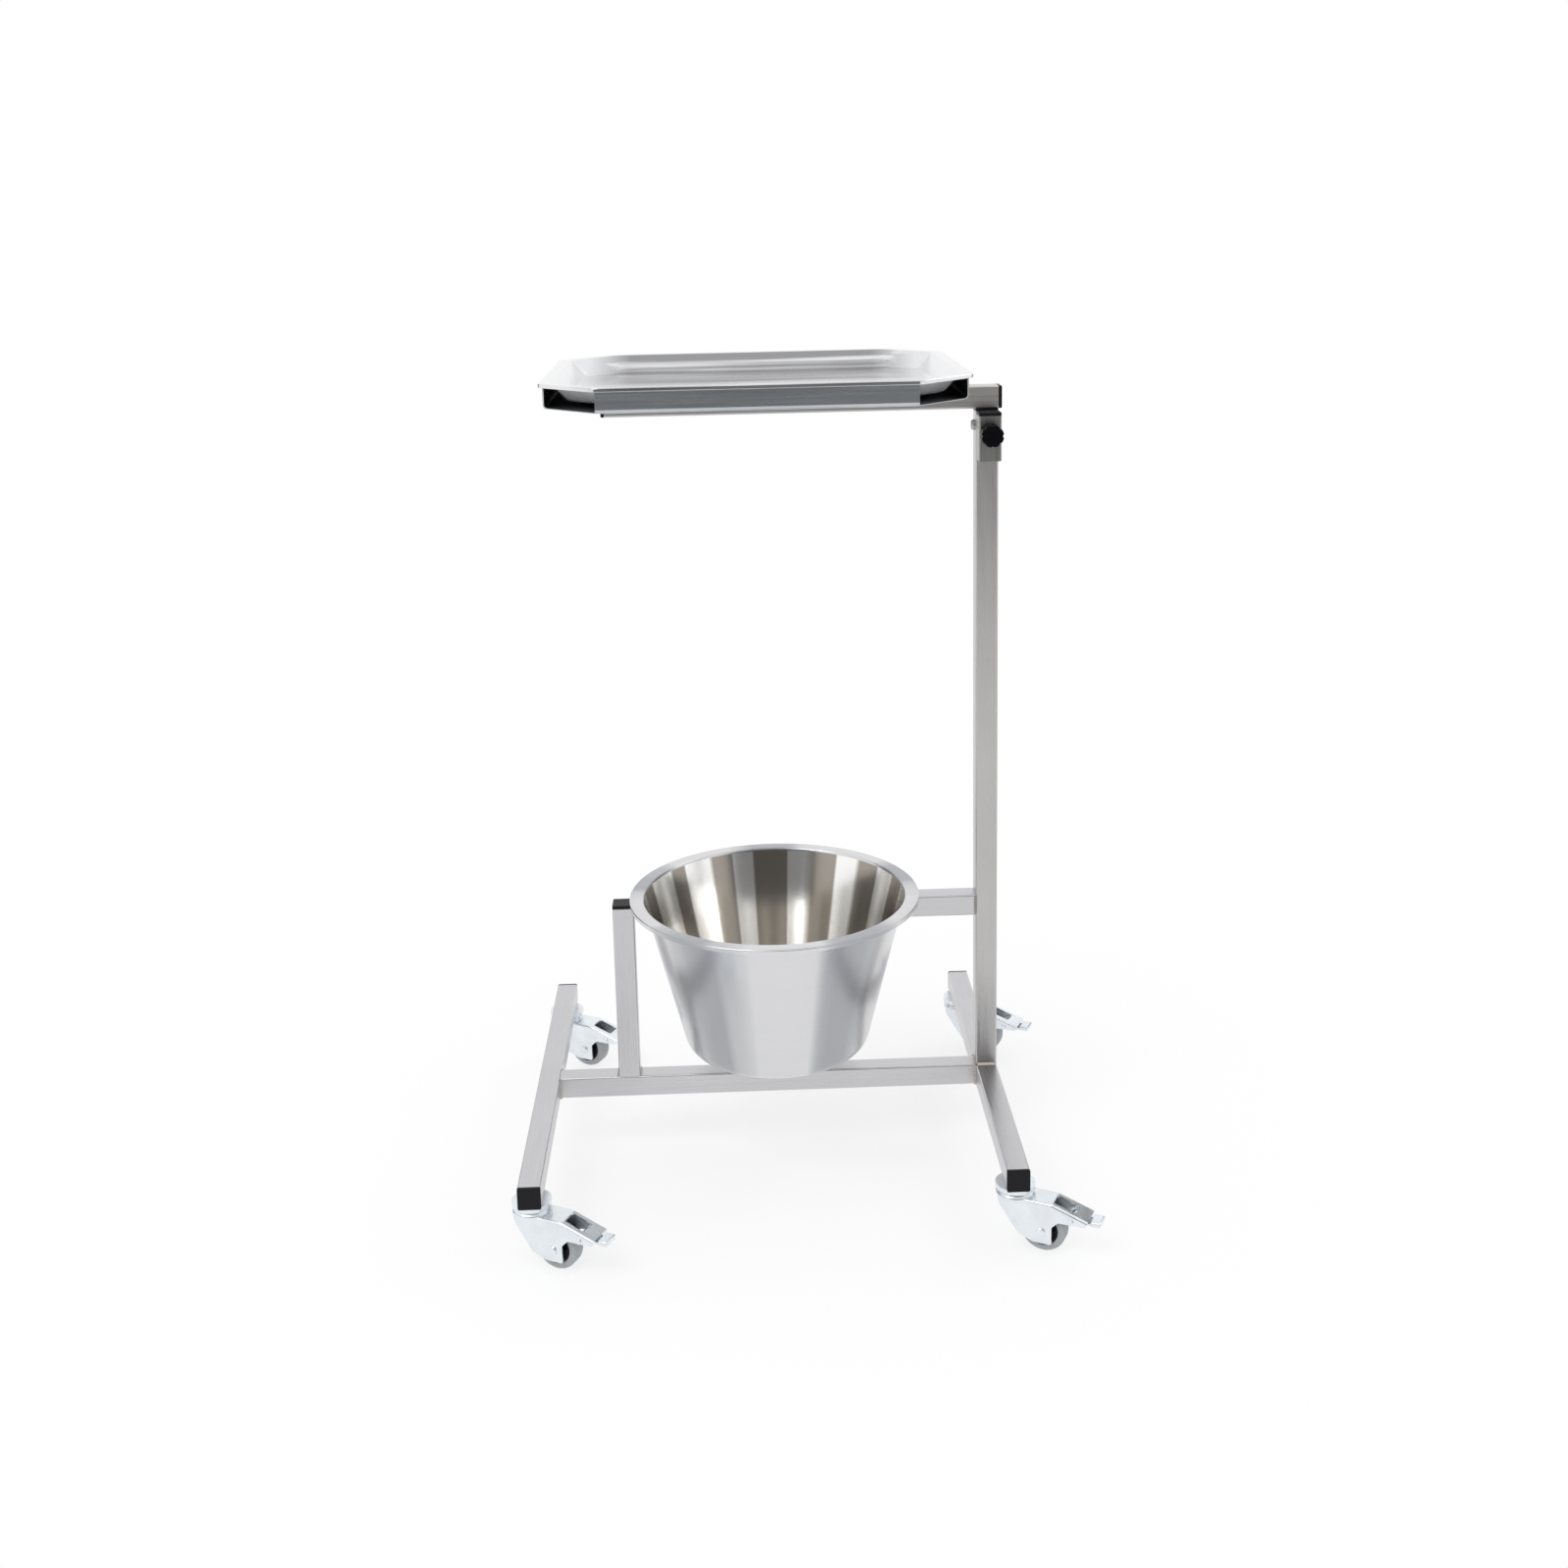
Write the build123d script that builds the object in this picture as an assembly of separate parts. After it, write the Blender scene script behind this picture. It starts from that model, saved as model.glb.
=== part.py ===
from build123d import *
import os
from math import atan, cos, radians, sin, sqrt

# Mayo instrument stand: a welded square-tube frame on four braked casters, a clamped height-adjustable
# post that carries a sheet-metal holder with a lift-off tray, and a bowl hooked over two tube ends.
# Millimetres. The model is drawn with the mast on the Z axis and the floor at Z = 0, X along the base
# bar and Y from the front of the feet to the back. The last step moves it to its bottom centre.

# Square tube
tube = 25.0
tube_wall = 1.5
tube_edge = 2.0

# Base and posts
foot_length = 512.0
foot_spacing = 519.0
mast_length = 780.0
post_offset = 424.0
bowl_rest_height = 309.0
bowl_arm_length = 77.0
boss_length = 50.0
boss_drop = 2.5

# Black end plugs and the mast's guide bush
plug_head = 4.0
plug_spigot = 12.0
plug_round = 1.2
bush_flange = 2.7
bush_length = 40.0

# Sliding post and tray arm
slide_gap = 0.3
inner_tube = 19.0
inner_wall = 1.5
inner_length = 450.0
glide_length = 25.0
tray_arm_margin = 54.0
tray_arm_right = 12.5

# Clamp and stop screws
clamp_drop = 20.0
clamp_r = 4.0
clamp_hole_r = 4.3
running_gap = 0.05
clamp_nut_across = 13.0
clamp_nut_height = 6.5
knob_r = 12.5
knob_length = 17.0
knob_standoff = 2.0
knob_flutes = 8
knob_flute_r = 3.0
knob_flute_depth = 1.1
knob_collar_r = 8.75
knob_round = 1.6
stop_drop = 16.0
stop_head_r = 6.0
stop_head_height = 4.2
stop_r = 3.0

# Tray holder, a folded sheet with open corners
tray_offset = 257.0
holder_length = 440.0
holder_width = 390.0
holder_flange = 25.0
holder_chamfer = 57.0
holder_sheet = 1.2
holder_bend = 4.0

# Lift-off tray
tray_length = 450.0
tray_width = 400.0
tray_chamfer = 60.0
tray_corner = 16.0
tray_land = 14.0
tray_draw = 19.0
tray_slope = 16.0
tray_sheet = 1.0
tray_lip = 3.0
tray_lip_width = 2.4
tray_bottom_r = 9.0
tray_edge_round = 0.9
seat_gap = 0.3

# Bowl
bowl_offset = 247.5
bowl_rim_r = 169.0
bowl_mouth_r = 153.0
bowl_rim_height = 5.5
bowl_wall_top_r = 151.5
bowl_base_r = 104.5
bowl_depth = 189.0
bowl_base_corner = 24.0
bowl_sheet = 1.0
bowl_mouth_bevel = 3.0
bowl_rim_sheet = 2.0
bowl_lip = 2.2
bowl_rim_round = 1.6

# Casters. Their side outline runs along the trailing direction s and the height h above the floor.
caster_height = 70.0
caster_inset = 24.0
caster_turn = -27.0
trail = 33.0
wheel_r = 25.0
tread_width = 18.0
tread_shoulder = 4.0
hub_r = 17.5
hub_recess_r = 15.0
hub_recess = 2.2
hub_boss_r = 7.0
hub_gap = 0.7
hub_ribs = 6
axle_r = 3.0
axle_head_r = 5.2
axle_head_height = 2.0
fork_width = 30.0
fork_sheet = 2.0
fork_top = 59.5
fork_front = 17.0
fork_knee = 44.0
fork_tail = 84.0
fork_tail_top = 47.0
fork_tail_height = 6.0
fork_toe = 45.0
fork_skirt = 9.0
fork_lead = 2.0
fork_bend_r = 14.0
fork_corner_r = 2.5
fork_edge_r = 2.8
cheek_bottom = 12.5
arch_height = 40.0
arch_round = 7.0
slot_length = 25.0
race_r = 20.0
race_height = 2.5
race_chamfer = 1.0
cup_r = 21.5
cup_height = 7.7
cup_edge = 2.5
cup_taper = 2.0
kingpin_r = 5.0
kingpin_head_r = 8.0
kingpin_head_height = 2.0
stem_height = 16.0
stem_nut_across = 16.0
stem_nut_height = 8.0
pedal_pivot_s = 66.0
pedal_pivot_h = 43.5
pedal_pin_r = 2.0
pedal_width = 15.0
pedal_sheet = 2.5
pedal_reach = 97.0
pedal_pad_width = 19.0
pedal_pad_top = 56.0
pedal_pad_gap = 2.0
pedal_hook = 8.0
shoe_gap = 1.3
shoe_angle = 34.0
shoe_length = 3.5

# Weld beads along the joints of the frame
weld_leg = 2.2

# Heights and half sizes that follow from the values above
half = tube / 2
base_top = caster_height + tube
base_mid = caster_height + half
mast_top = base_top + mast_length
tray_arm_bottom = mast_top + bush_flange + slide_gap
tray_arm_top = tray_arm_bottom + tube
boss_top = mast_top - boss_drop
boss_y = -tube
clamp_height = boss_top - clamp_drop
stop_height = mast_top - stop_drop
knob_back = boss_y - half - knob_standoff - slide_gap
tray_arm_left = tray_offset + holder_length / 2 - tray_arm_margin
caster_y = foot_length / 2 + plug_head - caster_inset
bore = tube - 2 * tube_wall
bush_bore = inner_tube + 2 * slide_gap
throat = fork_width - 2 * fork_sheet
fork_fall = (fork_top - fork_tail_top) / (fork_tail - fork_knee)

# How much the leg of a 45 degree corner shrinks when its outline moves inwards
corner_shrink = 2 - sqrt(2)

FRAME = "frame"
CARRIER = "tray_carrier"

ALONG_X = Rot(0, 90, 0)
AGAINST_X = Rot(0, -90, 0)
ALONG_Y = Rot(-90, 0, 0)
AGAINST_Y = Rot(90, 0, 0)
DOWN = Rot(180, 0, 0)

nodes = {}
bodies = {}


def keep(name, shape, body):
    nodes[name] = shape
    bodies.setdefault(body, []).append(name)


def square_tube(length, size=tube, wall=tube_wall, edge=tube_edge):
    """A hollow square tube that stands on the XY plane."""
    outside = RectangleRounded(size, size, edge)
    inside = RectangleRounded(size - 2 * wall, size - 2 * wall, max(edge - wall, 0.4))
    return extrude(outside - inside, length)


def end_plug(size=tube, wall=tube_wall, edge=tube_edge):
    """A push-in plug. Its head lies on the tube's end at Z = 0 and its spigot fills the bore below."""
    head = extrude(RectangleRounded(size, size, edge), plug_head)
    head = fillet(head.faces().sort_by(Axis.Z)[-1].edges(), plug_round)
    inside = size - 2 * wall
    return head + extrude(RectangleRounded(inside, inside, max(edge - wall, 0.4)), -plug_spigot)


def hexagon_nut(across, height, hole_r):
    return extrude(RegularPolygon(across / 2, 6, major_radius=False) - Circle(hole_r), height)


def weld_bead(length):
    """A bead of triangular section along Z, whose right angle lies in the joint's corner."""
    section = make_face(Polyline((0, 0), (weld_leg, 0), (0, weld_leg), close=True))
    return Pos(0, 0, -length / 2) * extrude(section, length)


# Base frame


def foot_tube(x):
    foot = Pos(x, -foot_length / 2, base_mid) * ALONG_Y * square_tube(foot_length)
    for y in (-caster_y, caster_y):
        foot -= Pos(x, y, caster_height) * Cylinder(kingpin_r, 3 * tube_wall)
    return foot


def base_frame():
    keep("right_foot_tube", foot_tube(0), FRAME)
    keep("left_foot_tube", foot_tube(-foot_spacing), FRAME)
    bar = Pos(-foot_spacing + half, 0, base_mid) * ALONG_X * square_tube(foot_spacing - tube)
    keep("base_bar", bar, FRAME)
    for side, x in (("left", -foot_spacing), ("right", 0)):
        front = Pos(x, -foot_length / 2, base_mid) * AGAINST_Y * end_plug()
        back = Pos(x, foot_length / 2, base_mid) * ALONG_Y * end_plug()
        keep(f"front_{side}_foot_plug", front, FRAME)
        keep(f"rear_{side}_foot_plug", back, FRAME)


def mast():
    tube_solid = Pos(0, 0, base_top) * square_tube(mast_length)
    clamp_hole = Pos(0, -half, clamp_height) * ALONG_Y * Cylinder(clamp_hole_r, 3 * tube_wall)
    stop_hole = Pos(-half, 0, stop_height) * ALONG_X * Cylinder(stop_r, 3 * tube_wall)
    return tube_solid - clamp_hole - stop_hole


def clamp_boss():
    """A short piece of tube on the mast's front that takes the clamp screw."""
    boss = Pos(0, boss_y, boss_top - boss_length) * square_tube(boss_length)
    return boss - Pos(0, boss_y, clamp_height) * ALONG_Y * Cylinder(clamp_hole_r, 2 * tube)


def mast_bush():
    """The plastic bush in the mast's mouth that the sliding post runs in."""
    flange = Pos(0, 0, mast_top) * extrude(RectangleRounded(tube, tube, tube_edge), bush_flange)
    sleeve_face = RectangleRounded(bore, bore, max(tube_edge - tube_wall, 0.4))
    sleeve = Pos(0, 0, mast_top - bush_length) * extrude(sleeve_face, bush_length)
    way = extrude(RectangleRounded(bush_bore, bush_bore, tube_edge), mast_top + tube)
    clamp_hole = Pos(0, -half, clamp_height) * ALONG_Y * Cylinder(clamp_hole_r, tube / 2)
    stop_hole = Pos(-half, 0, stop_height) * ALONG_X * Cylinder(stop_r, tube / 2)
    return flange + sleeve - way - clamp_hole - stop_hole


def stop_screw():
    """A domed screw in the mast's left wall, whose tip guides the sliding post."""
    reach = half - inner_tube / 2 - slide_gap
    shank = Cylinder(stop_r, reach, align=(Align.CENTER, Align.CENTER, Align.MAX))
    head = Cylinder(stop_head_r, stop_head_height, align=(Align.CENTER, Align.CENTER, Align.MIN))
    head = fillet(head.faces().sort_by(Axis.Z)[-1].edges(), 0.7 * stop_head_height)
    return Pos(-half, 0, stop_height) * AGAINST_X * (head + shank)


def bowl_supports():
    post_length = bowl_rest_height - plug_head - base_top
    post = Pos(-post_offset, 0, base_top) * square_tube(post_length)
    keep("bowl_post", post, FRAME)
    keep("bowl_post_plug", Pos(-post_offset, 0, base_top + post_length) * end_plug(), FRAME)
    arm_end = Pos(-half - bowl_arm_length, 0, bowl_rest_height - half)
    keep("bowl_arm", arm_end * ALONG_X * square_tube(bowl_arm_length), FRAME)
    keep("bowl_arm_plug", arm_end * AGAINST_X * end_plug(), FRAME)


def weld_beads():
    """Beads in the open corners where tube meets tube. Each is turned so that it lies in its corner."""
    beads = []
    for sign, turn in ((-1, 270), (1, 0)):
        for x in (-foot_spacing + half, -half):
            inward = 0 if x < -foot_spacing / 2 else 90 * sign
            spin = turn + inward
            beads.append(Pos(x, sign * half, base_mid) * Rot(0, 0, spin) * weld_bead(tube))
    for x, first_spin in ((0, 0), (-post_offset, 90)):
        for spin in (first_spin, first_spin + 180):
            upright = Pos(x, 0, base_top) * Rot(0, 0, spin) * Pos(0, half, 0)
            beads.append(upright * Rot(0, 90, 0) * Rot(0, 0, 90) * weld_bead(tube - 2 * tube_edge))
    arm_mid = bowl_rest_height - half
    for spin in (0, 180):
        corner = Pos(-half, 0, arm_mid) * Rot(spin, 0, 0) * Pos(0, half, 0)
        beads.append(corner * Rot(0, 0, 90) * weld_bead(tube - 2 * tube_edge))
    lower = boss_top - boss_length
    beads.append(Pos(0, -half, lower) * Rot(0, 90, 0) * Rot(0, 0, -90) * weld_bead(tube - 2 * tube_edge))
    return Compound(children=beads)


# Clamp


def clamp_nut():
    seat = Pos(0, boss_y - half + tube_wall, clamp_height)
    return seat * ALONG_Y * hexagon_nut(clamp_nut_across, clamp_nut_height, clamp_r + running_gap)


def clamp_stud():
    """The screw from inside the knob to just short of the sliding post."""
    start = knob_back - knob_length / 2
    end = -inner_tube / 2 - slide_gap
    stud = Cylinder(clamp_r, end - start, align=(Align.CENTER, Align.CENTER, Align.MIN))
    stud = chamfer(stud.faces().sort_by(Axis.Z)[-1].edges(), clamp_r / 4)
    return Pos(0, start, clamp_height) * ALONG_Y * stud


def clamp_knob():
    """A fluted knob with a domed face and a slimmer collar towards the mast."""
    collar = Cylinder(knob_collar_r, knob_standoff, align=(Align.CENTER, Align.CENTER, Align.MIN))
    grip = Cylinder(knob_r, knob_length, align=(Align.CENTER, Align.CENTER, Align.MIN))
    for flute in PolarLocations(knob_r + knob_flute_r - knob_flute_depth, knob_flutes):
        grip -= flute * Cylinder(knob_flute_r, 3 * knob_length)
    grip = fillet(grip.faces().sort_by(Axis.Z)[-1].edges(), knob_round)
    knob = grip + Pos(0, 0, -knob_standoff) * collar
    bore_hole = Pos(0, 0, -knob_standoff) * Cylinder(
        clamp_r, knob_standoff + knob_length / 2, align=(Align.CENTER, Align.CENTER, Align.MIN)
    )
    return knob - bore_hole


def clamp():
    keep("clamp_nut", clamp_nut(), FRAME)
    keep("clamp_stud", clamp_stud(), "clamp_knob")
    keep("clamp_knob", Pos(0, knob_back, clamp_height) * AGAINST_Y * clamp_knob(), "clamp_knob")


# Sliding post, tray arm and holder


def sliding_post():
    bottom = tray_arm_bottom - inner_length
    post = Pos(0, 0, bottom) * square_tube(inner_length, inner_tube, inner_wall)
    keep("inner_post", post, CARRIER)
    block = bore - 2 * slide_gap
    glide = extrude(RectangleRounded(block, block, 1.0), -glide_length)
    glide = chamfer(glide.faces().sort_by(Axis.Z)[0].edges(), 1.0)
    spigot = inner_tube - 2 * inner_wall
    glide += extrude(RectangleRounded(spigot, spigot, max(tube_edge - inner_wall, 0.4)), plug_spigot)
    keep("post_glide", Pos(0, 0, bottom) * glide, CARRIER)


def tray_arm():
    middle = tray_arm_bottom + half
    length = tray_arm_left + tray_arm_right
    keep("tray_arm", Pos(-tray_arm_left, 0, middle) * ALONG_X * square_tube(length), CARRIER)
    keep("tray_arm_left_plug", Pos(-tray_arm_left, 0, middle) * AGAINST_X * end_plug(), CARRIER)
    keep("tray_arm_right_plug", Pos(tray_arm_right, 0, middle) * ALONG_X * end_plug(), CARRIER)


def octagon(length, width, corner):
    """A rectangle with its four corners cut off at 45 degrees, as a list of points."""
    x = length / 2
    y = width / 2
    quarter = [(x, y - corner), (x - corner, y)]
    points = list(quarter)
    points += [(-px, py) for px, py in reversed(quarter)]
    points += [(-px, -py) for px, py in quarter]
    points += [(px, -py) for px, py in reversed(quarter)]
    return points


def octagon_face(length, width, corner, round_r):
    face = make_face(Polyline(*octagon(length, width, corner), close=True))
    return fillet(face.vertices(), round_r)


def flange_section():
    """An upright flange with its bend, in a plane whose X points outwards and Y up."""
    inner_r = holder_bend - holder_sheet
    face = Pos(-holder_bend / 2, holder_flange / 2) * Rectangle(holder_bend, holder_flange)
    hollow = Pos(-holder_sheet - inner_r / 2, holder_flange / 2 + holder_bend / 2)
    face -= hollow * Rectangle(inner_r, holder_flange - holder_bend)
    face -= Pos(-holder_bend, holder_bend) * Circle(inner_r)
    corner = Pos(-holder_bend / 2, holder_bend / 2) * Rectangle(holder_bend, holder_bend)
    return face - (corner - Pos(-holder_bend, holder_bend) * Circle(holder_bend))


def holder_flange_bar(length):
    """One flange that runs along Y, its outer face at X = 0 and its foot at Z = 0."""
    section = Plane(origin=(0, -length / 2, 0), x_dir=(1, 0, 0), z_dir=(0, -1, 0)) * flange_section()
    return extrude(section, -length)


def tray_holder():
    floor_points = octagon(
        holder_length - 2 * holder_bend, holder_width - 2 * holder_bend, holder_chamfer - holder_bend
    )
    holder = extrude(make_face(Polyline(*floor_points, close=True)), holder_sheet)
    long_flange = holder_flange_bar(holder_length - 2 * holder_chamfer)
    short_flange = holder_flange_bar(holder_width - 2 * holder_chamfer)
    for spin in (0, 180):
        holder += Rot(0, 0, spin) * Pos(holder_length / 2, 0, 0) * short_flange
        holder += Rot(0, 0, spin + 90) * Pos(holder_width / 2, 0, 0) * long_flange
    return Pos(-tray_offset, 0, tray_arm_top) * holder


def tray_outline(inset):
    """The tray's outline, moved inwards."""
    corner = tray_chamfer - corner_shrink * inset
    return octagon_face(tray_length - 2 * inset, tray_width - 2 * inset, corner, tray_corner)


def tray_basin(grow, drop):
    """The tapered basin of the tray, grown outwards and sunk by one sheet for its outer skin."""
    inset = tray_land - grow
    top = tray_outline(inset)
    low = tray_outline(inset + tray_slope)
    basin = loft([Pos(0, 0, -tray_draw - drop) * low, top])
    return fillet(basin.faces().sort_by(Axis.Z)[0].edges(), tray_bottom_r + drop)


def tray():
    """A drawn sheet tray. Its land rests on the holder's flanges and its edge turns down outside them."""
    land = extrude(tray_outline(0), -tray_sheet)
    skirt = Pos(0, 0, -tray_sheet) * extrude(tray_outline(0) - tray_outline(tray_lip_width), -tray_lip)
    rim = land + skirt
    rim = fillet(rim.faces().sort_by(Axis.Z)[-1].edges(), tray_edge_round)
    body = rim + tray_basin(tray_sheet, tray_sheet) - tray_basin(0, 0)
    top = tray_arm_top + holder_flange + seat_gap + tray_sheet
    return Pos(-tray_offset, 0, top) * body


# Bowl


def bowl():
    """A spun bowl with a straight taper, a rounded foot and a wide rim with a turned-down edge."""
    top = bowl_rest_height + seat_gap + bowl_rim_height
    base = top - bowl_depth
    outside = Polyline(
        (0, base),
        (bowl_base_r, base),
        (bowl_wall_top_r, top - bowl_rim_height),
        (bowl_rim_r, top - bowl_rim_height),
        (bowl_rim_r, top),
        (0, top),
        close=True,
    )
    slope = (bowl_wall_top_r - bowl_base_r) / (bowl_depth - bowl_rim_height)
    mouth_slip = bowl_wall_top_r + slope * bowl_rim_height - bowl_sheet
    cavity = Polyline(
        (0, base + bowl_sheet),
        (bowl_base_r - bowl_sheet, base + bowl_sheet),
        (mouth_slip, top),
        (0, top),
        close=True,
    )
    solid = revolve(make_face(Plane.XZ * outside), Axis.Z, 360)
    solid = fillet(solid.edges().group_by(Axis.Z)[0], bowl_base_corner)
    hollow = revolve(make_face(Plane.XZ * cavity), Axis.Z, 360)
    hollow = fillet(hollow.edges().group_by(Axis.Z)[0], bowl_base_corner - bowl_sheet)
    mouth = Pos(0, 0, top) * Cone(
        mouth_slip, bowl_mouth_r, bowl_mouth_bevel, align=(Align.CENTER, Align.CENTER, Align.MAX)
    )
    under = Polyline(
        (bowl_wall_top_r, top - bowl_rim_height),
        (bowl_rim_r - bowl_lip, top - bowl_rim_height),
        (bowl_rim_r - bowl_lip, top - bowl_rim_sheet),
        (bowl_wall_top_r + bowl_rim_sheet, top - bowl_rim_sheet),
        close=True,
    )
    solid = solid - hollow - mouth - revolve(make_face(Plane.XZ * under), Axis.Z, 360)
    rim_edges = solid.edges().filter_by(lambda e: abs(e.bounding_box().max.X - bowl_rim_r) < 0.01)
    solid = fillet(rim_edges.group_by(Axis.Z)[-1], bowl_rim_round)
    return Pos(-bowl_offset, 0, 0) * solid


# Casters


def caster_mount():
    """The part of a caster that is bolted to the foot: threaded stem, bearing cup and kingpin."""
    cup_bottom = caster_height - cup_height
    outline = Polyline(
        (0, caster_height),
        (cup_r, caster_height),
        (cup_r, cup_bottom + cup_edge),
        (cup_r - cup_taper, cup_bottom),
        (0, cup_bottom),
        close=True,
    )
    cup = revolve(make_face(Plane.XZ * outline), Axis.Z, 360)
    stem = Pos(0, 0, caster_height) * Cylinder(
        kingpin_r, stem_height, align=(Align.CENTER, Align.CENTER, Align.MIN)
    )
    pin_end = fork_top - fork_sheet - slide_gap
    pin = Pos(0, 0, cup_bottom) * Cylinder(
        kingpin_r, cup_bottom - pin_end, align=(Align.CENTER, Align.CENTER, Align.MAX)
    )
    head = Pos(0, 0, pin_end) * Cylinder(
        kingpin_head_r, kingpin_head_height, align=(Align.CENTER, Align.CENTER, Align.MAX)
    )
    return cup + stem + pin + fillet(head.faces().sort_by(Axis.Z)[0].edges(), 0.8)


def fork_side():
    """The side of the fork: a leg that slants down to the axle, an arch over the wheel and a sloping tail."""
    side = make_face(
        Polyline(
            (-fork_front, fork_top),
            (-fork_front + fork_lead, fork_top - fork_skirt),
            (trail - wheel_r, 1.5 * cheek_bottom),
            (trail - 0.7 * cheek_bottom, cheek_bottom),
            (fork_toe, cheek_bottom),
            (fork_toe, arch_height - arch_round),
            (fork_toe + arch_round, arch_height),
            (fork_tail - fork_lead, fork_tail_top - fork_tail_height),
            (fork_tail, fork_tail_top),
            (fork_knee, fork_top),
            close=True,
        )
    )
    side = fillet(side.vertices().filter_by(lambda v: v.Y < fork_tail_top - fork_corner_r), fork_corner_r)
    return fillet(side.vertices().filter_by(lambda v: abs(v.X - fork_knee) < 0.1 and v.Y > fork_tail_top), fork_bend_r)


def fork_hollow():
    """The room between the cheeks, one sheet under the crown and its sloping tail."""
    far = 2 * fork_tail
    roof = fork_top - fork_sheet
    knee = fork_knee + fork_sheet * (1 / cos(atan(fork_fall)) - 1) / fork_fall
    side = make_face(
        Polyline((-far, roof), (knee, roof), (far, roof - fork_fall * (far - knee)), (far, -far), (-far, -far), close=True)
    )
    bend = side.vertices().filter_by(lambda v: abs(v.X - knee) < 0.1)
    return extrude(Plane.XZ * fillet(bend, fork_bend_r - fork_sheet), throat / 2, both=True)


def caster_fork():
    """A pressed fork: crown, two cheeks, the lower race on top and a slot over the brake lever."""
    fork = extrude(Plane.XZ * fork_side(), fork_width / 2, both=True)
    top_edges = fork.edges().filter_by(
        lambda e: abs(e.center().Y) > fork_width / 2 - 0.01 and e.bounding_box().min.Z > fork_tail_top - 0.01
    )
    fork = fillet(top_edges, fork_edge_r)
    crown = Pos(0, 0, fork_top) * Cylinder(
        race_r + 1, fork_sheet, align=(Align.CENTER, Align.CENTER, Align.MAX)
    )
    race = Pos(0, 0, fork_top) * Cylinder(
        race_r, race_height, align=(Align.CENTER, Align.CENTER, Align.MIN)
    )
    race = chamfer(race.faces().sort_by(Axis.Z)[-1].edges(), race_chamfer)
    fork += crown + race
    slot = Pos(fork_knee + (slot_length + fork_sheet) / 2, 0, fork_top) * extrude(
        RectangleRounded(slot_length, pedal_width + 2, fork_corner_r), fork_top, both=True
    )
    fork = fork - fork_hollow() - slot
    fork -= Pos(0, 0, fork_top) * Cylinder(kingpin_r + running_gap, 6 * race_height)
    fork -= Pos(trail, 0, wheel_r) * ALONG_Y * Cylinder(axle_r, 2 * fork_width)
    return fork - Pos(pedal_pivot_s, 0, pedal_pivot_h) * ALONG_Y * Cylinder(pedal_pin_r, 2 * fork_width)


def rivet(shank_r, head_r, head_height):
    """A rivet across the fork, with a domed head against each cheek."""
    shank = Cylinder(shank_r, fork_width)
    heads = []
    for side in (Pos(0, 0, fork_width / 2), Pos(0, 0, -fork_width / 2) * DOWN):
        head = Cylinder(head_r, head_height, align=(Align.CENTER, Align.CENTER, Align.MIN))
        heads.append(side * fillet(head.faces().sort_by(Axis.Z)[-1].edges(), 0.7 * head_height))
    return ALONG_Y * (shank + heads[0] + heads[1])


def caster_tyre():
    tread = Cylinder(wheel_r, tread_width)
    tread = fillet(tread.edges().filter_by(GeomType.CIRCLE), tread_shoulder)
    return ALONG_Y * (tread - Cylinder(hub_r, 2 * tread_width))


def caster_hub():
    """The wheel's plastic centre: a rim, a recessed web with ribs and a boss around the axle."""
    hub = Cylinder(hub_r, tread_width)
    recess = Cylinder(hub_recess_r, hub_recess) - Cylinder(hub_boss_r, hub_recess)
    rib = Pos((hub_recess_r + hub_boss_r) / 2, 0, 0) * Box(hub_recess_r - hub_boss_r + 1, 1.6, hub_recess)
    for rib_place in PolarLocations(0, hub_ribs):
        recess -= rib_place * rib
    for level in (1, -1):
        hub -= Pos(0, 0, level * (tread_width - hub_recess) / 2) * recess
    hub += Cylinder(hub_boss_r, throat - 2 * hub_gap)
    return ALONG_Y * (hub - Cylinder(axle_r + running_gap, 2 * throat))


def pedal_side():
    """The side of the brake lever: a shoe over the tread, an eye round the pin and an arm under the tail."""
    eye_r = pedal_pin_r + pedal_sheet
    shoe_r = wheel_r + shoe_gap
    tip_s = trail + shoe_r * cos(radians(shoe_angle))
    tip_h = wheel_r + shoe_r * sin(radians(shoe_angle))
    shoe = make_face(
        Polyline(
            (tip_s, tip_h),
            (tip_s + shoe_length, tip_h - shoe_length / 3),
            (pedal_pivot_s + eye_r - 1, pedal_pivot_h - 1),
            (pedal_pivot_s - eye_r + 0.6, pedal_pivot_h + 1),
            close=True,
        )
    )
    arm_low = pedal_pivot_h - pedal_sheet - 1
    arm = make_face(
        Polyline(
            (pedal_pivot_s, arm_low),
            (fork_tail, arm_low),
            (fork_tail, arm_low + pedal_sheet),
            (pedal_pivot_s, pedal_pivot_h + 1),
            close=True,
        )
    )
    return shoe + Pos(pedal_pivot_s, pedal_pivot_h) * Circle(eye_r) + arm


def pad_side():
    """The side of the pad to step on: it rises past the fork's tail, runs level and hooks down at its end."""
    start = fork_tail + pedal_pad_gap
    low = pedal_pivot_h - pedal_sheet - 1
    under = pedal_pad_top - pedal_sheet
    return make_face(
        Polyline(
            (fork_tail - 1, low),
            (start + pedal_sheet - 1, low),
            (start + pedal_sheet, under),
            (pedal_reach - pedal_sheet - 0.5, under),
            (pedal_reach - pedal_sheet - 1, pedal_pad_top - pedal_hook),
            (pedal_reach - 1.5, pedal_pad_top - pedal_hook - 1),
            (pedal_reach, pedal_pad_top - 2),
            (pedal_reach - 1.5, pedal_pad_top),
            (start + 1, pedal_pad_top),
            (start - 1, low + pedal_sheet),
            (fork_tail - 1, low + pedal_sheet),
            close=True,
        )
    )


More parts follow.
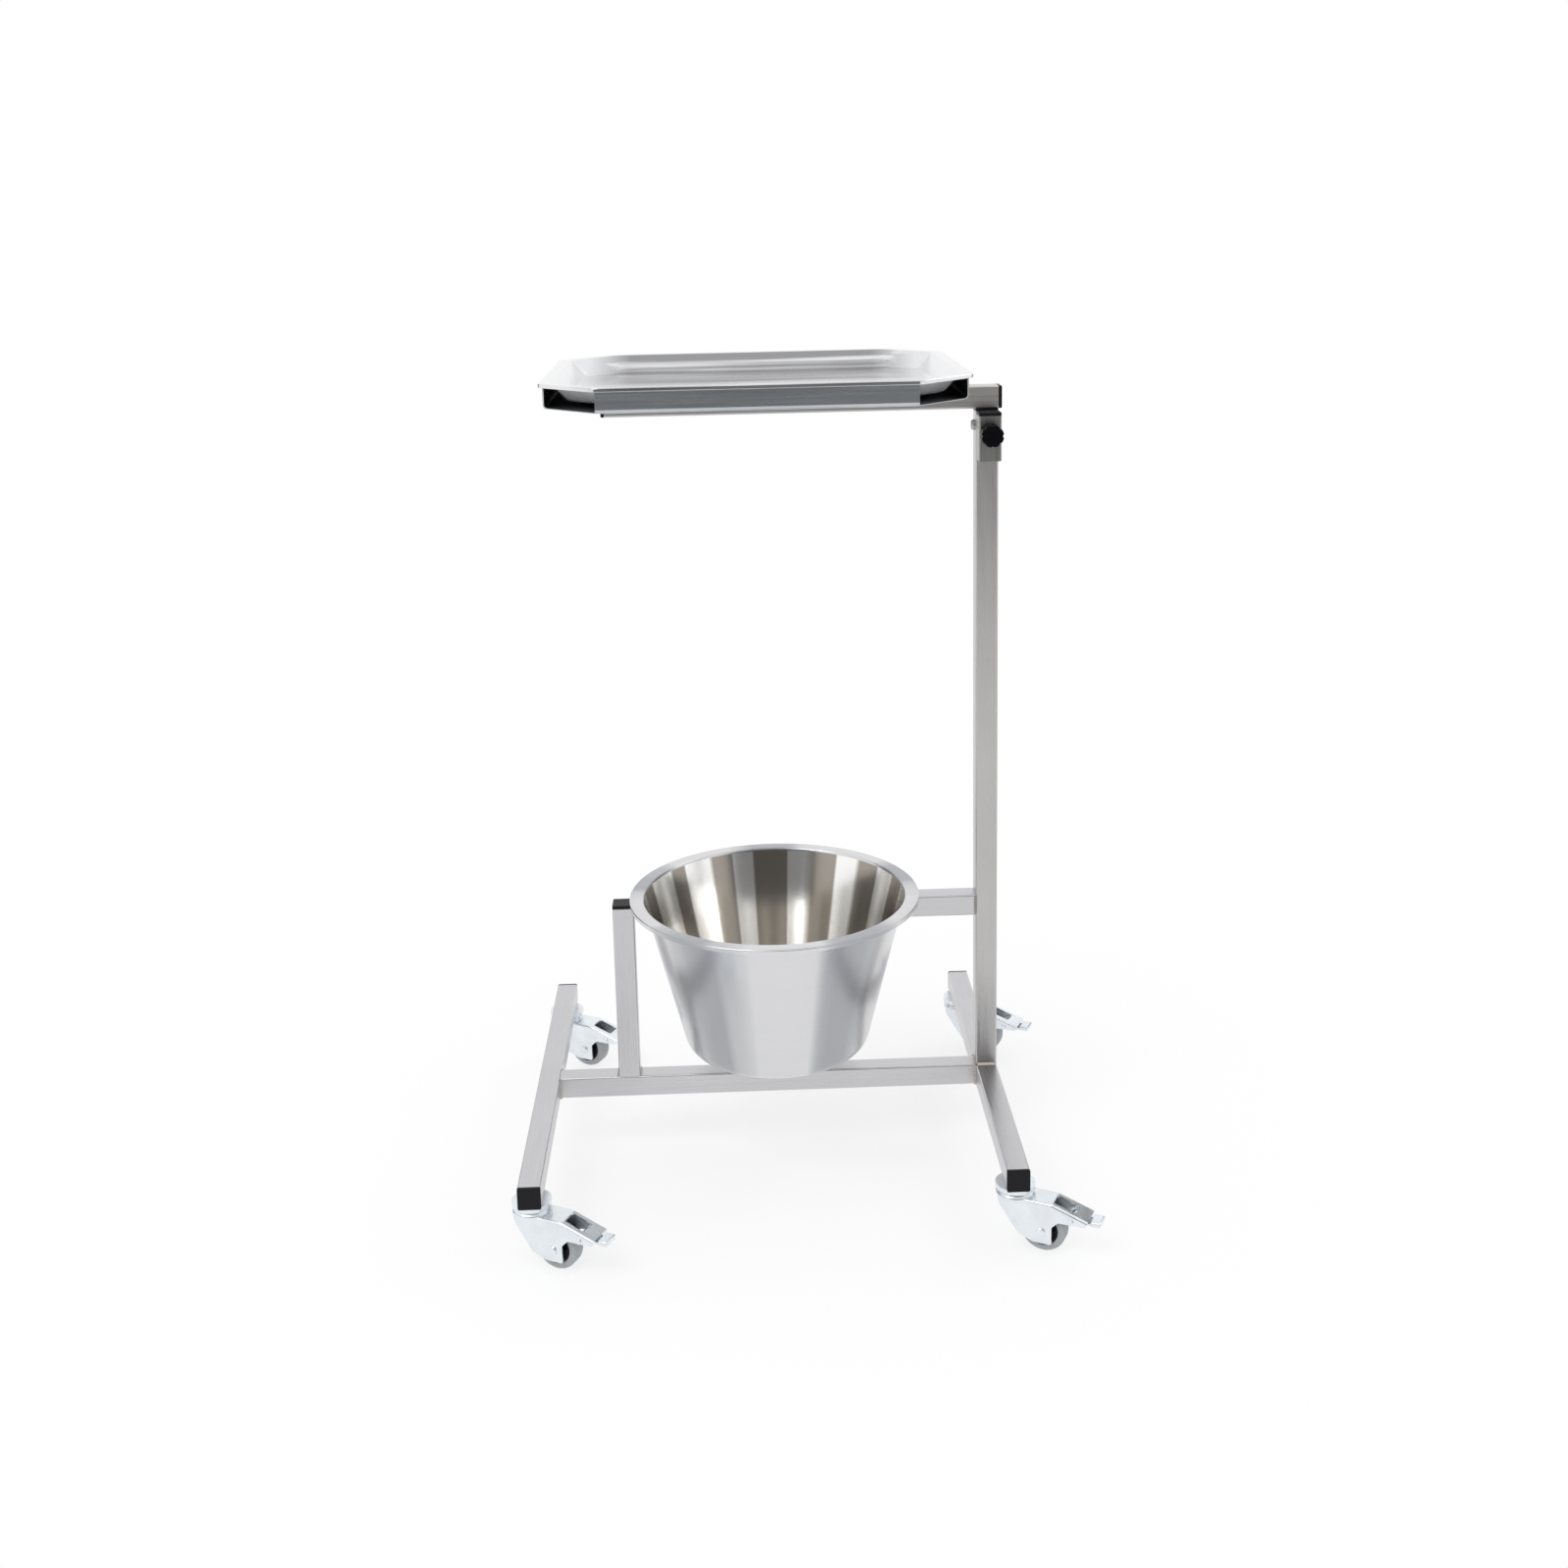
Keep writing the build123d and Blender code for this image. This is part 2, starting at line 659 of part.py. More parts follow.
def caster_pedal():
    lever = extrude(Plane.XZ * pedal_side(), pedal_width / 2, both=True)
    pad = extrude(Plane.XZ * pad_side(), pedal_pad_width / 2, both=True)
    pin_hole = Pos(pedal_pivot_s, 0, pedal_pivot_h) * ALONG_Y * Cylinder(
        pedal_pin_r + running_gap, 2 * pedal_width
    )
    return lever + pad - pin_hole


def casters():
    mount = caster_mount()
    fork = caster_fork()
    axle = Pos(trail, 0, wheel_r) * rivet(axle_r, axle_head_r, axle_head_height)
    pin = Pos(pedal_pivot_s, 0, pedal_pivot_h) * rivet(pedal_pin_r, pedal_pin_r + 1.2, 1.2)
    tyre = Pos(trail, 0, wheel_r) * caster_tyre()
    hub = Pos(trail, 0, wheel_r) * caster_hub()
    pedal = caster_pedal()
    nut = hexagon_nut(stem_nut_across, stem_nut_height, kingpin_r)
    nuts = []
    for corner, x, y in caster_corners():
        place = Pos(x, y, 0) * Rot(0, 0, caster_turn)
        keep(f"{corner}_caster_mount", place * mount, FRAME)
        keep(f"{corner}_caster_fork", place * fork, f"{corner}_fork")
        keep(f"{corner}_caster_pins", place * Compound(children=[axle, pin]), f"{corner}_fork")
        keep(f"{corner}_caster_tyre", place * tyre, f"{corner}_wheel")
        keep(f"{corner}_caster_hub", place * hub, f"{corner}_wheel")
        keep(f"{corner}_brake_pedal", place * pedal, f"{corner}_pedal")
        nuts.append(Pos(x, y, caster_height + tube_wall) * nut)
    keep("caster_nuts", Compound(children=nuts), FRAME)


def caster_corners():
    corners = []
    for side, x in (("left", -foot_spacing), ("right", 0)):
        for end, y in (("front", -caster_y), ("rear", caster_y)):
            corners.append((f"{end}_{side}", x, y))
    return corners


# Assembly


def assemble():
    base_frame()
    keep("mast_tube", mast(), FRAME)
    keep("clamp_boss", clamp_boss(), FRAME)
    keep("clamp_boss_plug", Pos(0, boss_y, boss_top) * end_plug(), FRAME)
    keep("mast_bush", mast_bush(), FRAME)
    keep("stop_screw", stop_screw(), FRAME)
    bowl_supports()
    keep("weld_beads", weld_beads(), FRAME)
    clamp()
    sliding_post()
    tray_arm()
    keep("tray_holder", tray_holder(), CARRIER)
    keep("tray", tray(), "tray")
    keep("bowl", bowl(), "bowl")
    casters()


def origin_shift():
    """How far the drawing moves so that the origin is the bottom centre of the whole stand."""
    boxes = [shape.bounding_box() for shape in nodes.values()]
    low = [min(getattr(box.min, axis) for box in boxes) for axis in "XYZ"]
    high = [max(getattr(box.max, axis) for box in boxes) for axis in "XYZ"]
    return (-(low[0] + high[0]) / 2, -(low[1] + high[1]) / 2, -low[2])


assemble()
shift = origin_shift()
os.makedirs("parts", exist_ok=True)
for node_name, node_shape in nodes.items():
    moved = Pos(*shift) * node_shape
    moved.label = node_name
    export_step(moved, f"parts/{node_name}.step")
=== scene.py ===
"""The look of an instrument stand: materials on its CAD nodes, finer sheet pieces, studio and camera."""

from math import cos, pi, radians, sin, sqrt, tan

import bpy
from mathutils import Matrix, Vector


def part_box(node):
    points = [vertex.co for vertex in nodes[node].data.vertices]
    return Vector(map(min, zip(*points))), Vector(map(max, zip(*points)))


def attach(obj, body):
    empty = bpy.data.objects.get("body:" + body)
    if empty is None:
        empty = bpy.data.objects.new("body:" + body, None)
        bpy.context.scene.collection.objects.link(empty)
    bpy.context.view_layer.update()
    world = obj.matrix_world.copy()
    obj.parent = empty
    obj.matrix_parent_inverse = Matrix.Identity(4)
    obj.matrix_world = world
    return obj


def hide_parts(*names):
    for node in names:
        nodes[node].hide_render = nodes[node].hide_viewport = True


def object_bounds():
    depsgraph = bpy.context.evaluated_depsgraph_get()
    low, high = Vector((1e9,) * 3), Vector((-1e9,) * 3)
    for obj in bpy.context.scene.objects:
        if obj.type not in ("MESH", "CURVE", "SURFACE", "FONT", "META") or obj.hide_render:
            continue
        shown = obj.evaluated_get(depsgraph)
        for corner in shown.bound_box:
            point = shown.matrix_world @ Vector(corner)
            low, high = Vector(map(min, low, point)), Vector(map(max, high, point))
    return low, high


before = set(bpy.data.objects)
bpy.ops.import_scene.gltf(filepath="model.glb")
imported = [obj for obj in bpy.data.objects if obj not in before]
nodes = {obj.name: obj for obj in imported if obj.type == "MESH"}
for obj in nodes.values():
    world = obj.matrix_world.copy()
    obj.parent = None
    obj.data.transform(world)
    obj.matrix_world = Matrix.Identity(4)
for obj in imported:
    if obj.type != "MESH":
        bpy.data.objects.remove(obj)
cad_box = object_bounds()
scene = bpy.context.scene

# Camera, in metres and radians, from the foot of the mast's axis
image_px = 1600
lens_px = 1893.3
sensor_mm = 36.0
picture_shift = 0.13
camera_right = -0.2903
camera_back = -2.0504
camera_height = 1.1150
camera_pitch = 0.20526
camera_yaw = -0.03017
camera_roll = 0.02094

# Light, floor and the dark cards that the metal reflects
room_level = 0.85
key_level = 0.3
key_place = (-1.3, -1.5, 2.6)
key_size = 1.6
rim_level = 0.1
rim_place = (1.7, 1.1, 2.1)
rim_size = 1.0
floor_r = 7.0
floor_sides = 64
# Painted glow of the floor: the radii in metres over which it rises, and its share near the middle
floor_fade = (0.1, 0.8)
floor_glow = 0.62
floor_roughness = 0.7
floor_gloss = 0.1
floor_colour = (0.95, 0.95, 0.955)
card_shade = 0.16
card_roughness = 0.9
cards = (
    {"angle": 36.0, "distance": 1.3, "width": 0.5, "bottom": 0.0, "top": 1.6},
    {"angle": 144.0, "distance": 1.3, "width": 0.5, "bottom": 0.0, "top": 1.6},
    {"angle": 270.0, "distance": 2.6, "width": 4.5, "bottom": 0.22, "top": 2.2},
)

# Steps in a profile's round corner, the angle that makes an edge sharp, and segments in a rounded edge
arc_steps = 7
sharp_angle = radians(40)
round_segments = 3

# Folds of the holder, in metres: outer radius, sheet, and how far the painted shade within them runs into the
# lit side
holder_bend = 0.004
holder_sheet = 0.0012
holder_blur = 0.0002

# Bowl, a lathe profile in metres that fills the CAD bowl's box
bowl_sides = 160
bowl_hub_r = 0.01
bowl_rim_width = 0.016
bowl_overhang = 0.0175
bowl_rim_height = 0.0055
bowl_base_r = 0.1045
bowl_base_round = 0.024
bowl_sheet = 0.001
bowl_lip = 0.0022
bowl_neck_round = 0.0015
bowl_fold_round = 0.001
bowl_lip_round = 0.0008
bowl_edge_round = 0.0005
bowl_rim_round = 0.0016
bowl_mouth_round = 0.0022
bowl_mouth_depth = 0.003

# Brake pedals, in metres along the way each caster trails and above the floor
caster_turn = radians(-27.0)
pin_along = 0.066
pin_height = 0.0435
pin_eye_r = 0.0045
pin_hole_r = 0.0021
shoe_tip = (0.0549, 0.0397)
shoe_heel = (0.0583, 0.0386)
arm_end = 0.0872
arm_low = 0.0402
arm_top = 0.0427
lever_width = 0.0148
lever_round = 0.0003
pad_start = 0.0856
pad_end = 0.0968
pad_low = 0.0406
pad_top = 0.0462
pad_width = 0.0194
pad_round = 0.0014

# The lever's rolled eye, in degrees round its pin
eye_start = -10.0
eye_opens = 97.0
eye_closes = 103.0
eye_end = 180.0

# Tray, a pressed profile in metres measured from the CAD tray's edge
tray_chamfer = 0.060
tray_corner = 0.016
tray_land = 0.014
tray_slope = 0.016
tray_draw = 0.019
tray_sheet = 0.001
tray_lip = 0.004
tray_lip_width = 0.0024
tray_bottom_r = 0.009
tray_edge_r = 0.0009
tray_fold_r = 0.0006
tray_cut_r = 0.0005
tray_shoulder_r = 0.004
tray_floor_reach = 0.030

# What each cut corner loses for each metre that the tray's outline moves inwards
corner_shrink = 2 - sqrt(2)

# Painted reflection on the tray, long dark streaks in its colour: the share of its half length that they
# reach, and the metres they fade in
reflection_reach = 0.86
reflection_fade = 0.05

# Grain and rings, in cycles per metre
grain_across = 900.0
grain_along = 14.0
ring_scale = 900.0

# Reach of the heat round the welds, in metres
heat_mast = 0.022
heat_wide = 0.02
heat_faint = 0.012

# Colours, linear
# One steel in several tones, as painted light and shade for how light falls on each part: STEEL lighter, the
# three copies below darker
STEEL = (0.60, 0.595, 0.61)
MAST_STEEL_SHADED = (0.53, 0.52, 0.515)
ARM_STEEL_SHADED = (0.57, 0.56, 0.545)
BOSS_STEEL_SHADED = (0.34, 0.337, 0.33)
SHEET = (0.55, 0.58, 0.61)
# Painted shade: near black on the holder's sheet within its folds
SHEET_FOLD_SHADE = (0.06, 0.062, 0.068)
SHEET_CUT = (0.86, 0.87, 0.88)
TRAY_STEEL = (0.80, 0.805, 0.82)
# Painted reflection: the colour of the dark streaks on the tray
TRAY_PAINTED_REFLECTION = (0.33, 0.33, 0.342)
TRAY_UNDER = (0.90, 0.91, 0.93)
# Painted reflection on the bowl: its light and dark band colours, the inside raised to near white for bright
# bands
BOWL_STEEL = (0.70, 0.70, 0.71)
BOWL_SHADE = (0.31, 0.325, 0.35)
BOWL_INSIDE = (0.98, 0.975, 0.96)
BOWL_INSIDE_SHADE = (0.33, 0.30, 0.26)
ZINC = (0.80, 0.84, 0.875)
SCREW_STEEL = (0.48, 0.48, 0.47)
BLACK = (0.005, 0.005, 0.007)
KNOB_BLACK = (0.002, 0.002, 0.003)
TYRE_GREY = (0.36, 0.375, 0.39)
STRAW = (0.36, 0.30, 0.22)
BROWN = (0.20, 0.14, 0.10)
WELD_DARK = (0.33, 0.30, 0.28)
WELD_LIGHT = (0.50, 0.47, 0.43)
WELD_BLUE = (0.33, 0.34, 0.40)

AXES = "xyz"

# Sockets of a Mix node that mixes colours
MIX_SHARE = 0
MIX_FIRST = 6
MIX_SECOND = 7
MIX_RESULT = 2


# Node helpers


def feed(tree, socket, value):
    """Sets a socket to a value, or links it to another node's output."""
    if isinstance(value, bpy.types.NodeSocket):
        tree.links.new(value, socket)
    else:
        socket.default_value = value


def add(tree, kind, **inputs):
    """A new node. Each named input takes a value or another node's output."""
    node = tree.nodes.new(kind)
    for name, value in inputs.items():
        feed(tree, node.inputs[name.replace("_", " ")], value)
    return node


def calc(tree, operation, first, second=0.0):
    """One step of arithmetic on two numbers."""
    node = tree.nodes.new("ShaderNodeMath")
    node.operation = operation
    feed(tree, node.inputs[0], first)
    feed(tree, node.inputs[1], second)
    return node.outputs[0]


def measure(tree, operation, *places):
    """The length of one place's vector, or the distance between two places."""
    node = tree.nodes.new("ShaderNodeVectorMath")
    node.operation = operation
    for socket, place in zip(node.inputs, places):
        feed(tree, socket, place)
    return node.outputs["Value"]


def join(tree, first, second):
    """A place from two numbers, with nothing on the third axis."""
    return add(tree, "ShaderNodeCombineXYZ", X=first, Y=second).outputs[0]


def remap(tree, value, span, result=(0.0, 1.0)):
    """Carries a value over from one span to another, and holds it at the ends."""
    limits = {"From_Min": span[0], "From_Max": span[1], "To_Min": result[0], "To_Max": result[1]}
    return add(tree, "ShaderNodeMapRange", Value=value, **limits).outputs["Result"]


def opaque(colour):
    """A colour with its alpha. Another node's output stays as it is."""
    return (*colour, 1.0) if isinstance(colour, tuple) else colour


def blend(tree, share, first, second):
    """Mixes two colours, each a tuple or another node's output."""
    node = tree.nodes.new("ShaderNodeMix")
    node.data_type = "RGBA"
    feed(tree, node.inputs[MIX_SHARE], share)
    feed(tree, node.inputs[MIX_FIRST], opaque(first))
    feed(tree, node.inputs[MIX_SECOND], opaque(second))
    return node.outputs[MIX_RESULT]


def own_place(tree):
    """A point's place in its object's own metres."""
    return tree.nodes.new("ShaderNodeTexCoord").outputs["Object"]


def axes_of(tree):
    """The three coordinates of a point in its object's own metres."""
    return add(tree, "ShaderNodeSeparateXYZ", Vector=own_place(tree)).outputs


def distance_from(tree, value, middle_value):
    return calc(tree, "ABSOLUTE", calc(tree, "SUBTRACT", value, middle_value))


def noise_at(tree, where, detail, rough, scale=1.0):
    node = add(tree, "ShaderNodeTexNoise", Vector=where, Scale=scale, Detail=detail, Roughness=rough)
    return node.outputs["Fac"]


def noise(tree, scale, detail=3.0, rough=0.55):
    """A noise with one scale for all axes or one for each, in cycles per metre."""
    scales = (scale, scale, scale) if isinstance(scale, float) else scale
    where = add(tree, "ShaderNodeMapping", Vector=own_place(tree), Scale=scales).outputs[0]
    return noise_at(tree, where, detail, rough)


def material(name, metallic, roughness):
    shader = bpy.data.materials.new(name)
    shader.use_nodes = True
    surface = shader.node_tree.nodes["Principled BSDF"]
    surface.inputs["Metallic"].default_value = metallic
    surface.inputs["Roughness"].default_value = roughness
    return shader, shader.node_tree, surface


def shade(colour, factor):
    return tuple(channel * factor for channel in colour)


def mottle(tree, pattern, span, colour, dark, light):
    """A colour that a pattern takes between a darker and a lighter shade of it."""
    return blend(tree, remap(tree, pattern, span), shade(colour, dark), shade(colour, light))


def vary_roughness(tree, surface, pattern, span, smoother, duller):
    """A pattern takes the surface's roughness between a smoother and a duller level."""
    socket = surface.inputs["Roughness"]
    level = socket.default_value
    feed(tree, socket, remap(tree, pattern, span, (level - smoother, level + duller)))


def bump(tree, surface, height, distance, strength):
    node = add(tree, "ShaderNodeBump", Height=height, Distance=distance, Strength=strength)
    feed(tree, surface.inputs["Normal"], node.outputs[0])


def dress(node_name, shader):
    """Gives a CAD node one material."""
    slots = nodes[node_name].data.materials
    slots.clear()
    slots.append(shader)


# Materials


def heat_tint(tree, tone, smudge, point, reach):
    """Straw and then brown round the place where a weld heated the steel, with a ragged edge."""
    ragged = remap(tree, smudge, (0.0, 1.0), (-0.4 * reach, 0.4 * reach))
    gap = calc(tree, "ADD", measure(tree, "DISTANCE", own_place(tree), point), ragged)
    tone = blend(tree, remap(tree, gap, (0.6 * reach, reach), (0.5, 0.0)), tone, STRAW)
    return blend(tree, remap(tree, gap, (0.35 * reach, 0.7 * reach), (0.6, 0.0)), tone, BROWN)


def brushed_steel(name, colour, axis, roughness=0.3, heat=()):
    """Steel ground along one axis, with soft smudges and a brown tint round each heat point."""
    shader, tree, surface = material(name, 1.0, roughness)
    scales = [grain_across, grain_across, grain_across]
    scales[AXES.index(axis)] = grain_along
    grain = noise(tree, scales, detail=2.0)
    smudge = noise(tree, (9.0, 9.0, 7.0), detail=2.0)
    tone = mottle(tree, grain, (0.25, 0.75), colour, dark=0.91, light=1.07)
    tone = blend(tree, remap(tree, smudge, (0.35, 0.65), (0.0, 0.5)), tone, shade(colour, 0.9))
    for point, reach in heat:
        tone = heat_tint(tree, tone, smudge, point, reach)
    feed(tree, surface.inputs["Base Color"], tone)
    vary_roughness(tree, surface, grain, (0.2, 0.8), smoother=0.07, duller=0.1)
    bump(tree, surface, grain, distance=0.00003, strength=0.35)
    return shader


def drawn_sheet_with_painted_reflection(name, colour, painted_reflection, centre, reach, roughness=0.13):
    """Bright drawn sheet. Its long dark streaks, a painted reflection, die out towards the two ends."""
    shader, tree, surface = material(name, 1.0, roughness)
    # Painted reflection: dark streaks in the colour stand for dark things that the tray reflects
    reflection_streaks = noise(tree, (1.3, 21.0, 90.0), detail=5.0, rough=0.62)
    from_middle = distance_from(tree, axes_of(tree)["X"], centre.x)
    in_reach = remap(tree, from_middle, (reach - reflection_fade, reach), (1.0, 0.0))
    share = calc(tree, "MULTIPLY", remap(tree, reflection_streaks, (0.41, 0.56)), in_reach)
    feed(tree, surface.inputs["Base Color"], blend(tree, share, colour, painted_reflection))
    wiping = noise(tree, (5.0, 260.0, 120.0), detail=3.0, rough=0.6)
    vary_roughness(tree, surface, wiping, (0.2, 0.8), smoother=0.03, duller=0.06)
    bump(tree, surface, noise(tree, 7.0, detail=1.0), distance=0.0008, strength=0.3)
    return shader


def satin_sheet(name, colour, metallic=0.5, roughness=0.4):
    """The tray's underside, left as it came from the press."""
    shader, tree, surface = material(name, metallic, roughness)
    cloud = noise(tree, 30.0, detail=3.0)
    tone = mottle(tree, cloud, (0.35, 0.65), colour, dark=0.94, light=1.04)
    feed(tree, surface.inputs["Base Color"], tone)
    vary_roughness(tree, surface, cloud, (0.3, 0.7), smoother=0.05, duller=0.05)
    bump(tree, surface, noise(tree, 900.0, detail=2.0), distance=0.00002, strength=0.3)
    return shader


def within_folds(tree, where, centre, half_size):
    """How far a point lies on the side of the holder's sheet that its folds look in on."""
    from_side = calc(
        tree,
        "MINIMUM",
        calc(tree, "SUBTRACT", half_size.x, distance_from(tree, where["X"], centre.x)),
        calc(tree, "SUBTRACT", half_size.y, distance_from(tree, where["Y"], centre.y)),
    )
    from_foot = calc(tree, "SUBTRACT", where["Z"], centre.z - half_size.z)
    legs = [
        calc(tree, "MAXIMUM", calc(tree, "SUBTRACT", holder_bend, depth), 0.0)
        for depth in (from_side, from_foot)
    ]
    reach = measure(tree, "LENGTH", join(tree, *legs))
    middle_r = holder_bend - holder_sheet / 2
    return remap(tree, reach, (middle_r - holder_blur, middle_r + holder_blur), (1.0, 0.0))


def cut_end(tree, where, axis, centre, half_size):
    """How far a face is a flange's sawn end, which looks along an axis and lies short of the outer side."""
    normal = tree.nodes.new("ShaderNodeTexCoord").outputs["Normal"]
    facing = calc(tree, "ABSOLUTE", add(tree, "ShaderNodeSeparateXYZ", Vector=normal).outputs[axis])
    outer = half_size[axis] - 2 * holder_sheet
    short = calc(tree, "LESS_THAN", distance_from(tree, where[axis], centre[axis]), outer)
    return calc(tree, "MULTIPLY", short, remap(tree, facing, (0.7, 0.9)))


def folded_sheet(name, colour, inside, cut, roughness=0.25):
    """Satin sheet with a faint grain, painted shade on the dull side within its folds, and bright ends."""
    shader, tree, surface = material(name, 1.0, roughness)
    low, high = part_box("tray_holder")
    centre = (low + high) / 2
    half_size = (high - low) / 2
    where = axes_of(tree)
    grain = noise(tree, (9.0, 500.0, 500.0), detail=2.0)
    cloud = noise(tree, (5.0, 5.0, 12.0), detail=2.0)
    within = within_folds(tree, where, centre, half_size)
    tone = mottle(tree, grain, (0.3, 0.7), colour, dark=0.96, light=1.03)
    tone = blend(tree, remap(tree, cloud, (0.35, 0.65), (0.0, 0.6)), tone, shade(colour, 0.86))
    # Painted shade: the side within the folds is darkened, where little light reaches
    tone = blend(tree, within, tone, inside)
    for axis in (AXES.index("x"), AXES.index("y")):
        tone = blend(tree, cut_end(tree, where, axis, centre, half_size), tone, cut)
    feed(tree, surface.inputs["Base Color"], tone)
    ground = remap(tree, grain, (0.2, 0.8), (roughness - 0.04, roughness + 0.05))
    duller = remap(tree, within, (0.0, 1.0), (0.0, 0.35))
    feed(tree, surface.inputs["Roughness"], calc(tree, "ADD", ground, duller))
    bump(tree, surface, grain, distance=0.00001, strength=0.12)
    return shader


def spun_steel_with_painted_reflection(name, colour, dark, centre, roughness, bands, phase, warp, edges, share):
    """Spun sheet: faint rings round the axis, and light and dark bands of painted reflection up the wall.

    The bands follow a sine of the angle, with its phase warped to and fro. Between the two edges
    of that sine the dark colour comes in, up to its share.
    """
    shader, tree, surface = material(name, 1.0, roughness)
    where = axes_of(tree)
    across = calc(tree, "SUBTRACT", where["X"], centre.x)
    deep = calc(tree, "SUBTRACT", where["Y"], centre.y)
    radius = measure(tree, "LENGTH", join(tree, across, deep))
    ring_place = [calc(tree, "MULTIPLY", number, ring_scale) for number in (radius, where["Z"])]
    rings = noise_at(tree, join(tree, *ring_place), detail=2.0, rough=0.6)
    way = [calc(tree, "DIVIDE", number, radius) for number in (across, deep)]
    uneven = noise_at(tree, join(tree, *way), detail=1.0, rough=0.5, scale=3.0)
    # Painted reflection: light and dark bands in the colour stand for bright and dark things that the wall
    # reflects
    turn = calc(tree, "MULTIPLY", calc(tree, "ARCTAN2", deep, across), float(bands))
    lead = remap(tree, uneven, (0.3, 0.7), (phase - warp, phase + warp))
    wave = calc(tree, "SINE", calc(tree, "ADD", turn, lead))
    on_wall = remap(tree, radius, (bowl_base_r - bowl_base_round, bowl_base_r))
    dark_share = calc(tree, "MULTIPLY", remap(tree, wave, edges, (0.0, share)), on_wall)
    banded = blend(tree, dark_share, colour, dark)
    ringed = blend(tree, remap(tree, rings, (0.3, 0.7), (0.0, 0.05)), banded, shade(dark, 0.8))
    feed(tree, surface.inputs["Base Color"], ringed)
    vary_roughness(tree, surface, rings, (0.2, 0.8), smoother=0.04, duller=0.05)
    tangent = tree.nodes.new("ShaderNodeTangent")
    tangent.direction_type = "RADIAL"
    tangent.axis = "Z"
    feed(tree, surface.inputs["Tangent"], tangent.outputs[0])
    surface.inputs["Anisotropic"].default_value = 0.5
    bump(tree, surface, rings, distance=0.00001, strength=0.2)
    return shader


def zinc_plate(name, colour, roughness=0.27):
    """Bright zinc: bluish, with a faint cloudy spangle."""
    shader, tree, surface = material(name, 1.0, roughness)
    cloud = noise(tree, 45.0, detail=2.0)
    tone = mottle(tree, cloud, (0.35, 0.65), colour, dark=0.95, light=1.04)
    feed(tree, surface.inputs["Base Color"], tone)
    vary_roughness(tree, surface, cloud, (0.3, 0.7), smoother=0.04, duller=0.05)
    bump(tree, surface, noise(tree, 700.0, detail=2.0), distance=0.00002, strength=0.3)
    return shader


def weld_metal(name, roughness=0.42):
    """A rippled bead in the colours that heat leaves on stainless steel."""
    shader, tree, surface = material(name, 1.0, roughness)
    patch = noise(tree, 260.0, detail=3.0)
    tone = blend(tree, remap(tree, patch, (0.3, 0.5)), WELD_DARK, WELD_LIGHT)
    tone = blend(tree, remap(tree, patch, (0.55, 0.7), (0.0, 0.7)), tone, WELD_BLUE)
    feed(tree, surface.inputs["Base Color"], tone)
    bump(tree, surface, noise(tree, 1400.0, detail=2.0), distance=0.0003, strength=0.8)
    return shader


def moulded_plastic(name, colour, roughness, gloss=0.2):
    """Moulded plastic with a fine spark-eroded grain and slightly paler scuffs."""
    shader, tree, surface = material(name, 0.0, roughness)
    scuff = noise(tree, 160.0, detail=4.0, rough=0.7)
    tone = blend(tree, remap(tree, scuff, (0.55, 0.75), (0.0, 0.6)), colour, shade(colour, 2.2))
    feed(tree, surface.inputs["Base Color"], tone)
    vary_roughness(tree, surface, scuff, (0.3, 0.7), smoother=0.06, duller=0.1)
    surface.inputs["Specular IOR Level"].default_value = gloss
    bump(tree, surface, noise(tree, 2600.0, detail=2.0), distance=0.00006, strength=0.5)
    return shader


def tyre_rubber(name, colour, roughness=0.7):
    """Grey non-marking tread with a matt skin and faint rolled-in dirt."""
    shader, tree, surface = material(name, 0.0, roughness)
    dirt = noise(tree, 190.0, detail=4.0, rough=0.65)
    tone = blend(tree, remap(tree, dirt, (0.5, 0.72), (0.0, 0.5)), colour, shade(colour, 0.72))
    feed(tree, surface.inputs["Base Color"], tone)
    vary_roughness(tree, surface, dirt, (0.3, 0.7), smoother=0.1, duller=0.1)
    bump(tree, surface, noise(tree, 1500.0, detail=3.0), distance=0.0001, strength=0.6)
    return shader


# Dressing the CAD nodes


def middle(node_name):
    low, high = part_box(node_name)
    return (low + high) / 2


def weld_points():
    """The places where tube is welded to tube, on the frame."""
    mast = middle("mast_tube")
    foot_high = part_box("right_foot_tube")[1]
    bar_low, bar_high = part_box("base_bar")
    arm = middle("bowl_arm")
    arm_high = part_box("bowl_arm")[1]
    mid_z = (bar_low.z + bar_high.z) / 2
    return {
        "right": Vector((bar_high.x, mast.y, mid_z)),
        "left": Vector((bar_low.x, mast.y, mid_z)),
        "mast_foot": Vector((mast.x, mast.y, foot_high.z)),
        "post_foot": Vector((middle("bowl_post").x, mast.y, foot_high.z)),
        "arm": Vector((arm_high.x, mast.y, arm.z)),
    }


